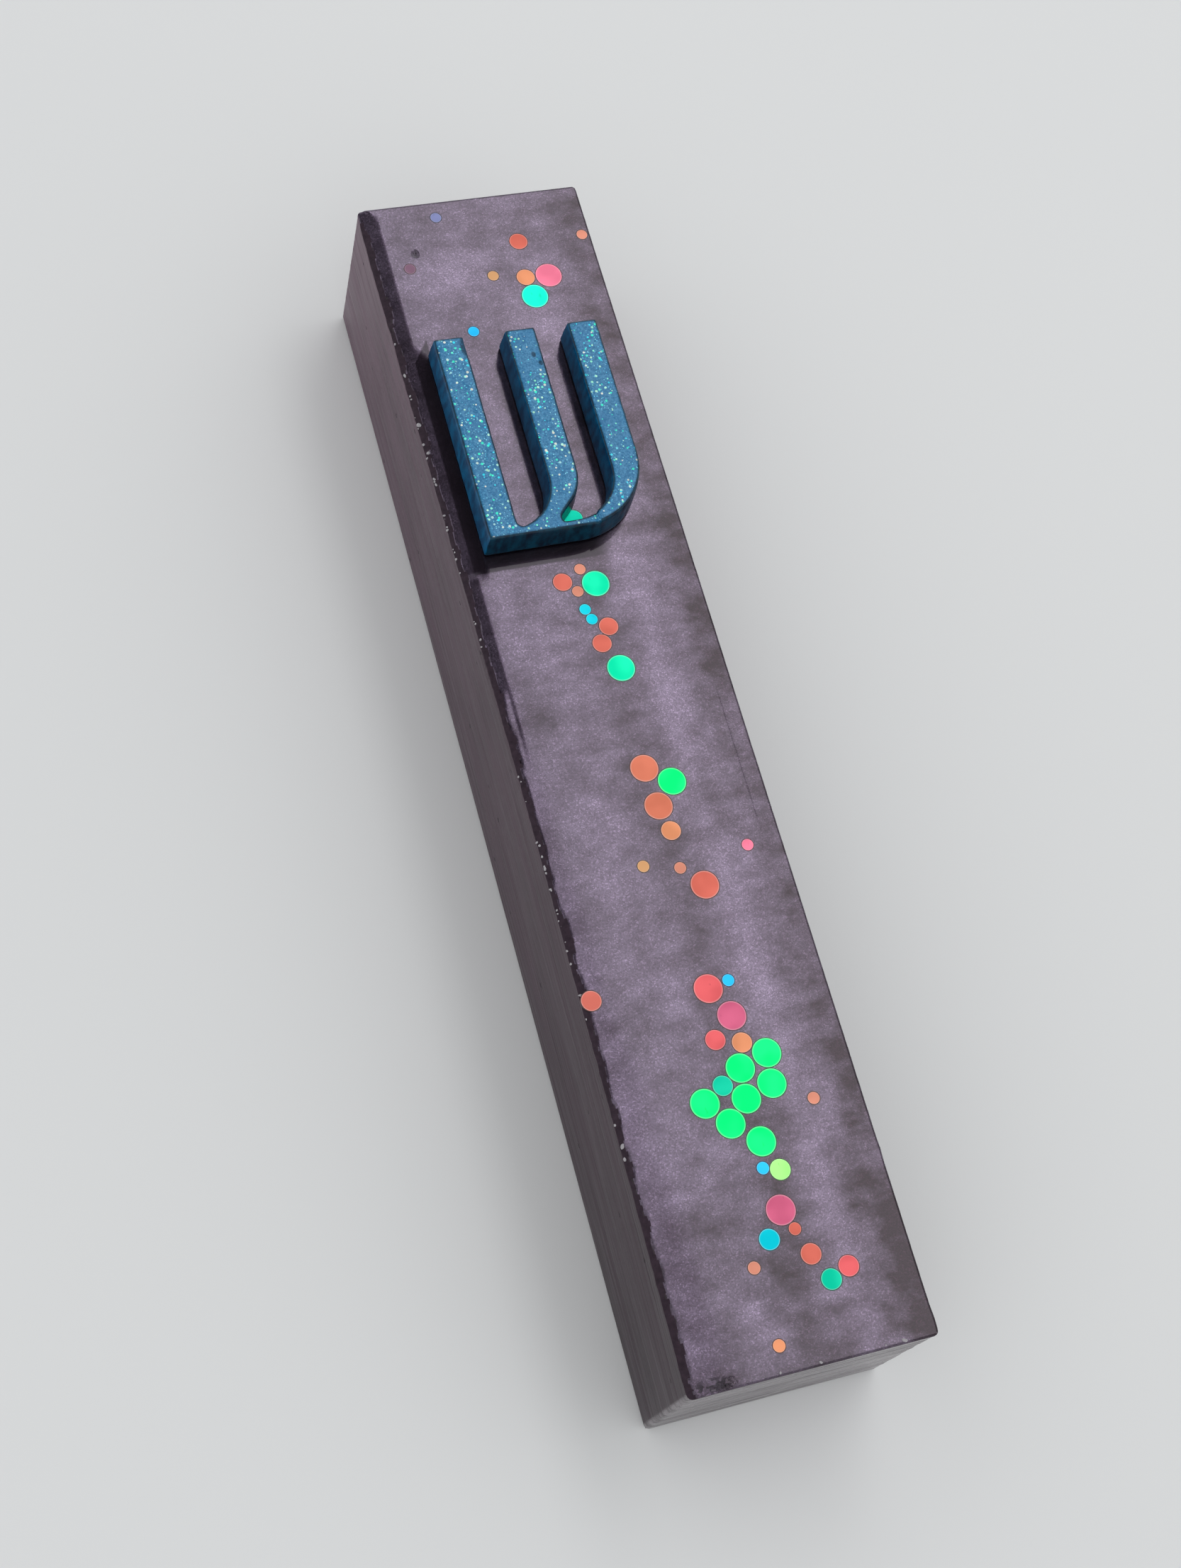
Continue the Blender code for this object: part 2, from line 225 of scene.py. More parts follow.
COLOURS = {
    "green": (0.0, 0.95, 0.22),
    "turquoise": (0.0, 0.92, 0.60),
    "teal": (0.0, 0.58, 0.35),
    "cyan": (0.0, 0.58, 0.70),
    "blue": (0.02, 0.52, 0.95),
    "violet": (0.20, 0.22, 0.42),
    "lime": (0.38, 0.97, 0.24),
    "yellow": (0.63, 0.33, 0.15),
    "orange": (0.62, 0.17, 0.10),
    "coral": (0.65, 0.14, 0.10),
    "red": (0.71, 0.11, 0.12),
    "magenta": (0.60, 0.11, 0.21),
    "pink": (0.86, 0.19, 0.30),
    "salmon": (0.66, 0.25, 0.17),
}

# The large green discs near the letter are bluer and the smaller orange ones paler. One disc lies so deep
# in the resin that little of its colour is left, and the one at the left edge is redder than others like it
UPPER_GREEN = (0.0, 0.82, 0.42)
PALE_ORANGE = (0.72, 0.27, 0.13)
ODD_DISCS = {
    "glitter_07_small_magenta": (0.210, 0.115, 0.170),
    "glitter_28_medium_salmon": (0.66, 0.16, 0.12),
}


# ---------------------------------------------------------------- node materials


class Finish:
    """A material on the Principled shader, with a short method for each kind of node that it needs."""

    def __init__(self, name, **constants):
        self.material = bpy.data.materials.new(name)
        self.material.use_nodes = True
        self.nodes = self.material.node_tree.nodes
        self.links = self.material.node_tree.links
        self.shader = self.nodes["Principled BSDF"]
        self.place = self.nodes.new("ShaderNodeTexCoord").outputs["Object"]
        for socket, value in constants.items():
            self.set(socket.replace("_", " "), value)

    def feed(self, socket, value):
        """Links another node's output to a socket, or gives the socket a constant."""
        if isinstance(value, bpy.types.NodeSocket):
            self.links.new(value, socket)
        elif hasattr(value, "__len__") and len(value) == 3 and socket.type == "RGBA":
            socket.default_value = (*value, 1)
        else:
            socket.default_value = value

    def set(self, name, value):
        """Feeds one of the shader's own inputs."""
        self.feed(self.shader.inputs[name], value)

    def math(self, operation, *values):
        """A sum, product or other operation on one to three numbers."""
        node = self.nodes.new("ShaderNodeMath")
        node.operation = operation
        for socket, value in zip(node.inputs, values):
            self.feed(socket, value)
        return node.outputs[0]

    def mix(self, factor, one, two, blend="MIX"):
        """Colour one at a factor of 0, and two at 1."""
        node = self.nodes.new("ShaderNodeMix")
        node.data_type = "RGBA"
        node.blend_type = blend
        self.feed(node.inputs[0], factor)
        self.feed(node.inputs[6], one)
        self.feed(node.inputs[7], two)
        return node.outputs[2]

    def scaled(self, x, y, z):
        """The place, with each axis stretched by its own number."""
        node = self.nodes.new("ShaderNodeVectorMath")
        node.operation = "MULTIPLY"
        self.feed(node.inputs[0], self.place)
        node.inputs[1].default_value = (x, y, z)
        return node.outputs[0]

    def noise(self, size, detail=2.0, stretch=(1, 1, 1), roughness=0.5):
        """Noise whose features are about size mm across, longer along an axis by its stretch."""
        node = self.nodes.new("ShaderNodeTexNoise")
        self.feed(node.inputs["Vector"], self.scaled(*(1 / s for s in stretch)))
        node.inputs["Scale"].default_value = 1 / (size * MM)
        node.inputs["Detail"].default_value = detail
        node.inputs["Roughness"].default_value = roughness
        return node.outputs["Fac"]

    def cells(self, size, stretch=(1, 1, 1)):
        """Voronoi cells of about size mm: the distance to a cell's point, in cell sizes, and its colour."""
        node = self.nodes.new("ShaderNodeTexVoronoi")
        self.feed(node.inputs["Vector"], self.scaled(*(1 / s for s in stretch)))
        node.inputs["Scale"].default_value = 1 / (size * MM)
        return node.outputs["Distance"], node.outputs["Color"]

    def ramp(self, value, low, high, to_low=0.0, to_high=1.0, smooth=True):
        """Turns low into to_low and high into to_high, and what lies between in step."""
        node = self.nodes.new("ShaderNodeMapRange")
        node.interpolation_type = "SMOOTHSTEP" if smooth else "LINEAR"
        for index, number in enumerate((value, low, high, to_low, to_high)):
            self.feed(node.inputs[index], number)
        return node.outputs[0]

    def between(self, value, low, high, soft=0.12):
        """1 where a length lies from low to high mm, with soft edges."""
        rise = self.ramp(value, (low - soft) * MM, (low + soft) * MM)
        return self.math("MULTIPLY", rise, self.ramp(value, (high + soft) * MM, (high - soft) * MM))

    def part(self, vector, axis):
        """One axis of a vector, or one channel of a colour."""
        node = self.nodes.new("ShaderNodeSeparateXYZ")
        self.feed(node.inputs[0], vector)
        return node.outputs[axis]

    def facing(self, axis, low, high):
        """How far the surface faces along an axis: 0 at low, 1 at high."""
        normal = self.nodes.new("ShaderNodeNewGeometry").outputs["True Normal"]
        turned = self.nodes.new("ShaderNodeVectorTransform")
        turned.vector_type = "NORMAL"
        turned.convert_from, turned.convert_to = "WORLD", "OBJECT"
        self.feed(turned.inputs[0], normal)
        return self.ramp(self.part(turned.outputs[0], axis), low, high)

    def value(self, attribute):
        """A number that the mesh carries at each vertex."""
        node = self.nodes.new("ShaderNodeAttribute")
        node.attribute_name = attribute
        return node.outputs["Fac"]

    def spot(self, x, y, reach_x, reach_y, soft=0.5):
        """1 in a round spot of the front, falling to 0 at its reach. Sizes are in mm."""
        squares = []
        for axis, middle, reach in ((0, x, reach_x), (1, y, reach_y)):
            away = self.math("MULTIPLY_ADD", self.part(self.place, axis), 1 / (reach * MM), -middle / reach)
            squares.append(self.math("MULTIPLY", away, away))
        return self.ramp(self.math("SQRT", self.math("ADD", *squares)), 1.0, 1.0 - soft)

    def bump(self, height, depth, strength=1.0, before=None):
        """Depth is in mm for a height that goes from 0 to 1."""
        node = self.nodes.new("ShaderNodeBump")
        node.inputs["Strength"].default_value = strength
        node.inputs["Distance"].default_value = depth * MM
        self.feed(node.inputs["Height"], height)
        if before:
            self.links.new(before, node.inputs["Normal"])
        return node.outputs["Normal"]


def front_finish():
    """Dark plum resin under a clear skin. Its pearl shines only where it mirrors light. A shadow of the
    letter is painted into its colour beside the letter's left side and under its foot.
    """
    made = Finish("plum_resin_front", Metallic=0.85, Roughness=0.21, Coat_Weight=0.6, Coat_Roughness=0.06)
    pearl = made.value("pearl")
    wisps = made.noise(1.9, 5.0, (1.6, 1, 1), 0.62)
    pearl = made.math("ADD", pearl, made.math("MULTIPLY_ADD", wisps, 0.90, -0.45))
    pearl = made.math("MAXIMUM", pearl, 0.0)
    tone = made.mix(pearl, (0.020, 0.009, 0.016), (0.190, 0.146, 0.218))
    _, grain_colour = made.cells(0.12)
    flake = made.part(grain_colour, 0)
    sparkle = made.ramp(flake, 0.86, 1.0, 0.0, 0.45, smooth=False)
    level = made.math("ADD", made.math("MULTIPLY_ADD", flake, 0.56, 0.68), sparkle)
    tone = made.mix(1.0, tone, made.mix(0.0, level, level), "MULTIPLY")
    pit = made.math("MULTIPLY", made.spot(*PIT), 0.7)
    dent_noise = made.ramp(made.noise(0.7, 3.0), 0.45, 0.60)
    dent = made.math("MULTIPLY", made.spot(*BROKEN_CORNER), made.math("MULTIPLY", dent_noise, 0.8))
    # Painted shadow of the letter: the colour is darkened in a strip beside the letter's left side and in a
    # band under its foot
    x, y = made.part(made.place, 0), made.part(made.place, 1)
    across, along = made.between(x, *LETTER_SHADOW_LEFT_ACROSS), made.between(y, *LETTER_SHADOW_LEFT_ALONG)
    corner = made.ramp(made.math("MULTIPLY_ADD", x, -1.4, y), 60.6 * MM, 60.2 * MM)
    painted_shadow_beside = made.math("MULTIPLY", made.math("MULTIPLY", across, along), corner)
    across, along = made.between(x, *LETTER_SHADOW_FOOT_ACROSS, soft=1.2), made.between(y, *LETTER_SHADOW_FOOT_ALONG)
    under = made.math("MULTIPLY", across, along)
    painted_letter_shadow = made.math("MULTIPLY", made.math("MAXIMUM", painted_shadow_beside, under), 0.85)
    hollow = made.math("MAXIMUM", pit, dent)
    dark = made.math("MAXIMUM", hollow, painted_letter_shadow)
    # The pit, the broken corner and the painted shadow of the letter all take this dark colour
    made.set("Base Color", made.mix(dark, tone, (0.016, 0.009, 0.017)))
    skin = made.bump(made.noise(7.0, 2.0, (1, 1.6, 1)), 0.010)
    coat = made.bump(hollow, -0.25, before=skin)
    made.set("Coat Normal", coat)
    made.set("Normal", made.bump(flake, 0.003, before=coat))
    return made.material


def chip_finish():
    """The dark, broken lip along the front's left edge."""
    made = Finish("plum_resin_chip", Roughness=0.42, Specular_IOR_Level=0.15)
    made.set("Base Color", made.mix(made.noise(0.5, 3.0), (0.010, 0.005, 0.010), (0.050, 0.030, 0.044)))
    made.set("Normal", made.bump(made.noise(0.25, 3.0), 0.05))
    return made.material


def wall_finish():
    """The same resin on the moulded walls: satin, with the layer lines of a printed mould and pinholes. Its
    colour holds painted light: lighter towards the upper end, with a painted sheen on the lower end.
    """
    made = Finish("plum_resin_wall", Metallic=0.3, Specular_IOR_Level=0.22)
    layers = made.noise(0.22, 3.0, (60, 60, 1))
    broad = made.noise(0.9, 2.0, (30, 30, 1))
    blotch = made.noise(3.5, 4.0, (2, 3, 1))
    tone = made.mix(blotch, (0.044, 0.024, 0.036), (0.106, 0.066, 0.090))
    tone = made.mix(made.ramp(broad, 0.42, 0.62, 0.0, 0.30), tone, (0.138, 0.090, 0.116))
    tone = made.mix(made.ramp(layers, 0.50, 0.36, 0.0, 0.30), tone, (0.026, 0.015, 0.024))
    y = made.part(made.place, 1)
    # Painted light: the walls' colour grows lighter towards the upper end and darker towards the lower end
    paler = made.math("POWER", 2.0, made.math("DIVIDE", y, 75 * MM))
    tone = made.mix(1.0, tone, made.mix(0.0, paler, paler), "MULTIPLY")
    lower_end = made.ramp(y, -64.2 * MM, -64.6 * MM)
    # Painted sheen: on the lower end the colour is lifted to a pale grey in broad streaks
    painted_sheen_on_end = made.math("MULTIPLY", lower_end, made.ramp(broad, 0.35, 0.6, 0.2, 0.8))
    tone = made.mix(painted_sheen_on_end, tone, (0.24, 0.21, 0.23))
    hole, _ = made.cells(2.4, (1, 1.8, 1))
    pinhole = made.ramp(hole, 0.07, 0.035)
    made.set("Base Color", made.mix(pinhole, tone, (0.008, 0.005, 0.009)))
    rough = made.ramp(broad, 0.3, 0.7, 0.32, 0.46)
    made.set("Roughness", made.math("MULTIPLY", rough, made.math("MULTIPLY_ADD", lower_end, -0.62, 1.0)))
    normal = made.bump(layers, 0.04, 0.8)
    normal = made.bump(broad, 0.10, 0.7, before=normal)
    made.set("Normal", made.bump(pinhole, -0.12, before=normal))
    return made.material


def bead_finish():
    """Clear, faintly cloudy resin."""
    made = Finish("clear_resin_bead", Roughness=0.08, Transmission_Weight=0.55, IOR=1.5)
    made.set("Base Color", made.mix(made.noise(0.4, 2.0), (0.60, 0.54, 0.60), (0.95, 0.93, 0.95)))
    return made.material


def letter_finish():
    """Blue resin full of fine glitter, which has sunk to the face that was down in the mould. Its left walls
    are painted lighter, and its flakes glow with painted glints.
    """
    made = Finish("blue_glitter_resin", Roughness=0.30, Specular_IOR_Level=0.30)
    top = made.ramp(made.value("top"), 0.78, 0.985)
    dust = made.noise(0.22, 3.0, roughness=0.7)
    clouds = made.noise(1.8, 3.0)
    top_tone = made.mix(made.ramp(dust, 0.35, 0.68), (0.018, 0.150, 0.320), (0.085, 0.310, 0.540))
    top_tone = made.mix(made.ramp(clouds, 0.4, 0.7, 0.0, 0.45), top_tone, (0.020, 0.165, 0.370))
    streaks = made.ramp(made.noise(0.9, 3.0, (1, 1, 2.5)), 0.3, 0.7)
    # Painted light: walls that face left take a lighter tone than the letter's other walls
    painted_lit_left_tone = made.mix(streaks, (0.000, 0.040, 0.105), (0.000, 0.100, 0.225))
    wall_tone = made.mix(streaks, (0.000, 0.008, 0.022), (0.000, 0.042, 0.078))
    wall_tone = made.mix(made.facing(0, -0.5, -0.9), wall_tone, painted_lit_left_tone)
    tone = made.mix(top, wall_tone, top_tone)
    bare = 0.0
    for spot in BARE_SPOTS:
        bare = made.math("MAXIMUM", bare, made.spot(*spot))
    tone = made.mix(made.math("MULTIPLY", bare, made.ramp(dust, 0.3, 0.5)), tone, (0.000, 0.045, 0.100))
    # Painted glints: the flakes glow by emission, though they are no lamp
    painted_flake_glints = 0.0
    for size, reach, tints in FLAKES:
        distance, colour = made.cells(size)
        crowd = made.noise(3.2, 2.0, (1, 1.4, 1))
        limit = made.ramp(crowd, 0.32, 0.58, 0.50 * reach, 1.12 * reach)
        flake = made.ramp(made.math("SUBTRACT", limit, distance), 0.0, 0.03)
        flake = made.math("MULTIPLY", flake, made.math("MULTIPLY", top, made.math("SUBTRACT", 1.0, bare)))
        tint = made.mix(made.ramp(made.part(colour, 0), 0.3, 0.7), *tints)
        tone = made.mix(flake, tone, tint)
        painted_flake_glints = made.math("MAXIMUM", painted_flake_glints, made.math("MULTIPLY", flake, made.part(colour, 1)))
    made.set("Base Color", tone)
    made.set("Emission Color", tone)
    made.set("Emission Strength", made.math("MULTIPLY", painted_flake_glints, 0.32))
    normal = made.bump(dust, 0.015, 0.8)
    made.set("Normal", made.bump(made.noise(1.4, 2.0), 0.05, before=normal))
    return made.material


def disc_finish(name, colour):
    """Holographic film, which returns its colour strongly. Part of its colour is painted light: the film
    glows by emission, though it is no lamp.
    """
    made = Finish("film_" + name, Roughness=0.45, Specular_IOR_Level=0.06)
    shade = made.noise(2.6, 1.0)
    lifted = tuple(min(1.0, c * 1.10 + 0.01) for c in colour)
    lowered = tuple(c * 0.90 for c in colour)
    tone = made.mix(made.ramp(shade, 0.3, 0.7), lowered, lifted)
    mark = made.ramp(made.noise(0.5, 4.0, (1, 3, 1)), 0.66, 0.74, 0.0, 0.35)
    tone = made.mix(mark, tone, tuple(c * 0.45 for c in colour))
    pale = tuple(c + (1 - c) * 0.22 for c in colour)
    tone = made.mix(made.math("MULTIPLY", made.value("rim"), 0.75), tone, pale)
    made.set("Base Color", tone)
    # Painted glow: the film emits its own colour
    made.set("Emission Color", tone)
    made.set("Emission Strength", 0.30)
    made.set("Normal", made.bump(made.noise(0.35, 3.0), 0.006))
    return made.material


def painted_shade_ring_finish(name, colour):
    """A dark ring round a disc, tinted like it: painted shade where the disc meets the resin."""
    made = Finish("painted_shade_ring_" + name, Roughness=0.35)
    darker, dark = (tuple(c * share + 0.006 for c in colour) for share in (0.06, 0.16))
    made.set("Base Color", made.mix(made.noise(0.3, 2.0), darker, dark))
    return made.material


def cover_finish():
    """Dark satin plastic with fine lines along it and a few scuffs."""
    made = Finish("cover_plastic", Roughness=0.5)
    brushed = made.noise(0.25, 3.0, (1, 80, 1))
    blotch = made.noise(9.0, 4.0)
    tone = made.mix(blotch, (0.030, 0.020, 0.034), (0.058, 0.042, 0.064))
    scuff = made.ramp(made.noise(0.6, 5.0, (1, 9, 1)), 0.62, 0.75, 0.0, 0.4)
    made.set("Base Color", made.mix(scuff, tone, (0.16, 0.13, 0.17)))
    made.set("Roughness", made.ramp(brushed, 0.3, 0.7, 0.42, 0.60))
    made.set("Normal", made.bump(brushed, 0.05, 0.7))
    return made.material


def parchment_finish():
    """Dry, mottled skin with open pores."""
    made = Finish("parchment", Roughness=0.78)
    mottle = made.noise(3.5, 5.0, roughness=0.6)
    pores = made.noise(0.25, 4.0)
    tone = made.mix(made.ramp(mottle, 0.3, 0.72), (0.80, 0.68, 0.47), (0.60, 0.46, 0.27))
    tone = made.mix(made.ramp(pores, 0.5, 0.75, 0.0, 0.35), tone, (0.45, 0.33, 0.18))
    made.set("Base Color", tone)
    normal = made.bump(pores, 0.04, 0.6)
    made.set("Normal", made.bump(made.noise(2.2, 3.0, (1, 4, 1)), 0.12, 0.6, before=normal))
    return made.material


def film_finish():
    """Thin clear film, a little hazy."""
    made = Finish("clear_film", Roughness=0.09, IOR=1.45, Alpha=0.26)
    haze = made.noise(4.0, 3.0, (1, 3, 1))
    made.set("Base Color", made.mix(haze, (0.78, 0.84, 0.88), (0.95, 0.97, 0.98)))
    made.set("Normal", made.bump(made.noise(3.0, 2.0, (1, 6, 1)), 0.10))
    return made.material


def foam_finish():
    """White foam with fine open cells."""
    made = Finish("foam_adhesive", Roughness=0.85)
    distance, _ = made.cells(0.32)
    pores = made.ramp(distance, 0.15, 0.5)
    tone = made.mix(pores, (0.52, 0.52, 0.50), (0.80, 0.80, 0.78))
    made.set("Base Color", made.mix(made.noise(3.0, 2.0), tone, (0.86, 0.85, 0.80)))
    made.set("Normal", made.bump(pores, 0.09, 0.8))
    return made.material


# ---------------------------------------------------------------- shapes


def smooth(value, low, high):
    """0 up to low and 1 from high on, with a smooth rise between them."""
    t = min(1.0, max(0.0, (value - low) / (high - low)))
    return t * t * (3 - 2 * t)


def hill(x, y, middle_x, middle_y, across, along):
    """1 at its middle, falling away to 0 like a bell."""
    return math.exp(-(((x - middle_x) / across) ** 2) - ((y - middle_y) / along) ** 2)


def wave(*place):
    """Smooth noise from -1 to 1."""
    padded = (*place, 0.0, 0.0)[:3]
    return noise.noise(Vector(padded))


def lines(low, high, middle, close, reach):
    """Grid lines from low to high: middle apart, and close together within reach of either end."""
    steps = [0.0, 0.4 * close]
    while steps[-1] < reach:
        steps.append(steps[-1] + close)
    count = max(1, round((high - low - 2 * steps[-1]) / middle))
    inner = [low + steps[-1] + (high - low - 2 * steps[-1]) * i / count for i in range(1, count)]
    return [low + s for s in steps] + inner + [high - s for s in reversed(steps)]


def box_shell(xs, ys, zs):
    """A closed box of quads with a vertex at each crossing of its surface lines, in mm."""
    bm = bmesh.new()
    made = {}
    last = (len(xs) - 1, len(ys) - 1, len(zs) - 1)

    def vertex(key):
        if key not in made:
            made[key] = bm.verts.new((xs[key[0]], ys[key[1]], zs[key[2]]))
        return made[key]

    for axis in range(3):
        one, two = [k for k in range(3) if k != axis]
        for side in (0, last[axis]):
            for a in range(last[one]):
                for b in range(last[two]):
                    keys = []
                    for step_a, step_b in ((0, 0), (1, 0), (1, 1), (0, 1)):
                        key = [0, 0, 0]
                        key[axis], key[one], key[two] = side, a + step_a, b + step_b
                        keys.append(tuple(key))
                    bm.faces.new([vertex(key) for key in keys])
    bmesh.ops.recalc_face_normals(bm, faces=bm.faces[:])
    return bm


def round_pair(along_one, along_two, radius):
    """Moves a point near a square edge onto its rounded form. Each number is a distance in from a side."""
    one, two = radius - min(along_one, radius), radius - min(along_two, radius)
    length = math.hypot(one, two)
    if length == 0:
        return along_one, along_two
    share = max(one, two) / length
    new_one = radius - one * share if along_one < radius else along_one
    new_two = radius - two * share if along_two < radius else along_two
    return new_one, new_two


def new_object(name, mesh, *finishes):
    """An object in the scene, with its material slots in order."""
    obj = bpy.data.objects.new(name, mesh)
    bpy.context.scene.collection.objects.link(obj)
    for finish in finishes:
        obj.data.materials.append(finish)
    return obj


def from_bmesh(name, bm, *finishes, scale=MM, angle=35):
    """An object made from a bmesh, which scale turns into metres. Edges past angle degrees are sharp."""
    bmesh.ops.transform(bm, matrix=Matrix.Scale(scale, 4), verts=bm.verts[:])
    mesh = bpy.data.meshes.new(name)
    bm.to_mesh(mesh)
    bm.free()
    mesh.shade_smooth()
    mesh.set_sharp_from_angle(angle=math.radians(angle))
    return new_object(name, mesh, *finishes)


def applied(obj):
    """Leaves the object with the mesh that its modifiers make, and no modifiers."""
    evaluated = obj.evaluated_get(bpy.context.evaluated_depsgraph_get())
    mesh = bpy.data.meshes.new_from_object(evaluated)
    obj.modifiers.clear()
    obj.data = mesh
    return obj


def edge_in(y):
    """How far the front's left edge bows in at y: a slow bow with small nicks."""
    reach = 66.0 if y > BOW_CENTRE else 58.0
    slow = BOW_DEPTH * max(0.0, 1 - ((y - BOW_CENTRE) / reach) ** 2)
    return slow + 0.05 * wave(y * 0.9, 3.1) + 0.035 * wave(y * 2.6, 7.7) * smooth(60 - abs(y), 0, 4)


def lip_share(x, y):
    """1 at the front's ragged left edge, falling to 0 where its broken lip ends."""
    width = max(0.34, LIP_WIDTH * (0.95 + 0.9 * wave(y * 0.45, 1.2) + 0.5 * wave(y * 2.1, 6.3)))
    return max(0.0, 1 - (x + HALF_WIDTH - edge_in(y)) / width) * smooth(64.0 - y, 0, 3)


def front_drop(x, y):
    """How far the front lies below its plane: the left edge's sloped band, its lip, and small ridges."""
    inward = x + HALF_WIDTH
    above = smooth(y + 0.7 * wave(x * 1.7, 5.5), BAND_END - 0.3, BAND_END + 0.6)
    corner = smooth(BAND_TOP + 1.3 * (HALF_WIDTH - BAND_LINE - inward) - y, -0.1, 0.3)
    beside_low, beside_high = BAND_BESIDE_SPAN
    wider = BAND_BESIDE * smooth(beside_high - y, 0, 2.4) * smooth(y - beside_low, 0, 0.8)
    slope = math.tan(math.radians(BAND_ANGLE))
    band = max(0.0, HALF_WIDTH - BAND_LINE + wider - inward) * slope * above * corner
    lip = LIP_DEPTH * lip_share(x, y) * (0.7 + 0.8 * abs(wave(y * 1.3, 9.4)))
    step = 0.02 * smooth(-x, BAND_LINE - 0.1, BAND_LINE + 0.1) * smooth(y, -2, 2) * (1 - above)
    ridge = 0.03 * smooth(x, BAND_LINE - 0.2, BAND_LINE + 0.2) * smooth(12 - abs(y + 5), 0, 6)
    return band + lip + step + ridge


def case_point(x, y, z):
    """The cast block's surface for a point of the plain box."""
    left, right, ends = x + HALF_WIDTH, HALF_WIDTH - x, HALF_LENGTH - abs(y)
    side = -1 if x < 0 else 1
    across, ends = round_pair(min(left, right), ends, CORNER_RADIUS)
    low = z - BACK
    high = FACE - z
    on_front_or_back = min(high, low) < ON_FACE
    near = min(across, ends)
    if near < BACK_EDGE_RADIUS and low < BACK_EDGE_RADIUS:
        if across <= ends:
            across, low = round_pair(across, low, BACK_EDGE_RADIUS)
        else:
            ends, low = round_pair(ends, low, BACK_EDGE_RADIUS)
        high = FACE - BACK - low
    if near < FRONT_EDGE_RADIUS and high < FRONT_EDGE_RADIUS:
        if across <= ends:
            across, high = round_pair(across, high, FRONT_EDGE_RADIUS)
        else:
            ends, high = round_pair(ends, high, FRONT_EDGE_RADIUS)
    height = max(0.0, (FACE - BACK - high) / (FACE - BACK))
    if side < 0:
        across += edge_in(y) * height**1.6 * smooth(2.6 - across, 0, 2.4)
    else:
        bulge = math.exp(-(((y + 63.6) / 1.1) ** 2)) + 0.5 * math.exp(-(((y + 47) / 0.7) ** 2))
        across += RIGHT_INSET * (1 - bulge) * smooth(2.0 - across, 0, 2.0) + 0.02 * wave(y * 1.1, 4.2)
    wall = 0.0 if on_front_or_back else smooth(min(high, low), 0.1, 0.6)
    layer = z / LAYER_PITCH
    if min(left, right) < ON_FACE:
        across += wall * (0.035 + 0.035 * wave(layer * 0.8, y * 0.03, side) + 0.02 * wave(z, y * 0.2))
    if HALF_LENGTH - abs(y) < ON_FACE:
        ends += wall * (0.065 + 0.065 * wave(layer * 0.5, x * 0.05, side + 4) + 0.02 * wave(z, x * 0.3))
    new_x = side * (HALF_WIDTH - max(0.0, across))
    new_y = (HALF_LENGTH - max(0.0, ends)) * (-1 if y < 0 else 1)
    new_z = FACE - high
    if high < FRONT_FADE:
        new_z -= front_drop(new_x, new_y) * smooth(FRONT_FADE - high, 0, FRONT_FADE)
    return Vector((new_x, new_y, new_z))


def pearl_at(x, y):
    """How strong the pearl is at a point of the front. It is below 0 on the broken lip, which has none."""
    wander = 1.3 * wave(y * 0.07, 2.5)
    level = 0.46 - 0.010 * x
    if y < 21:
        level -= 0.22 * math.exp(-(((x - 0.6 - wander) / 1.9) ** 2))
        level += 0.16 * math.exp(-(((x - 5.4 - 0.6 * wander) / 1.4) ** 2))
    level -= 0.17 * smooth(x, 8.0, 11.0) + 0.14 * smooth(-y, 40, 56)
    for *patch, gain in PEARL_PATCHES:
        level += gain * hill(x, y, *patch)
    warp = 1.5 * wave(x * 0.25, y * 0.15, 8)
    level += 0.18 * wave((x + warp) * 0.30, y * 0.16, 3) + 0.18 * wave((x + warp) * 0.40, y * 0.60, 6)
    return max(0.0, min(1.0, level)) - 2.0 * smooth(lip_share(x, y), 0.05, 0.5)


def cut_box(obj, low, high, corner):
    """Cuts a box with rounded upright corners out of the object. Low and high are its corners in mm."""
    bm = bmesh.new()
    bmesh.ops.create_cube(bm, size=1)
    middle = [(a + b) / 2 for a, b in zip(low, high)]
    size = [b - a for a, b in zip(low, high)]
    placed = Matrix.Translation(middle) @ Matrix.Diagonal((*size, 1))
    bmesh.ops.transform(bm, matrix=placed, verts=bm.verts[:])
    upright = [e for e in bm.edges if abs(e.verts[0].co.z - e.verts[1].co.z) > 1e-6]
    bmesh.ops.bevel(bm, geom=upright, offset=corner, segments=5, affect="EDGES", profile=0.5)
    cutter = from_bmesh("cutter", bm)
    modifier = obj.modifiers.new("cut", "BOOLEAN")
    modifier.operation = "DIFFERENCE"
    modifier.solver = "EXACT"
    modifier.object = cutter
    applied(obj)
    bpy.data.objects.remove(cutter, do_unlink=True)


def cut_recess(obj, node, room, below, corner):
    """Cuts the hollow that a CAD piece lies in, open towards the back, with room round the piece."""
    low, high = (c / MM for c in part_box(node))
    cut_box(obj, (low.x - room, low.y - room, below), (high.x + room, high.y + room, high.z + room), corner)


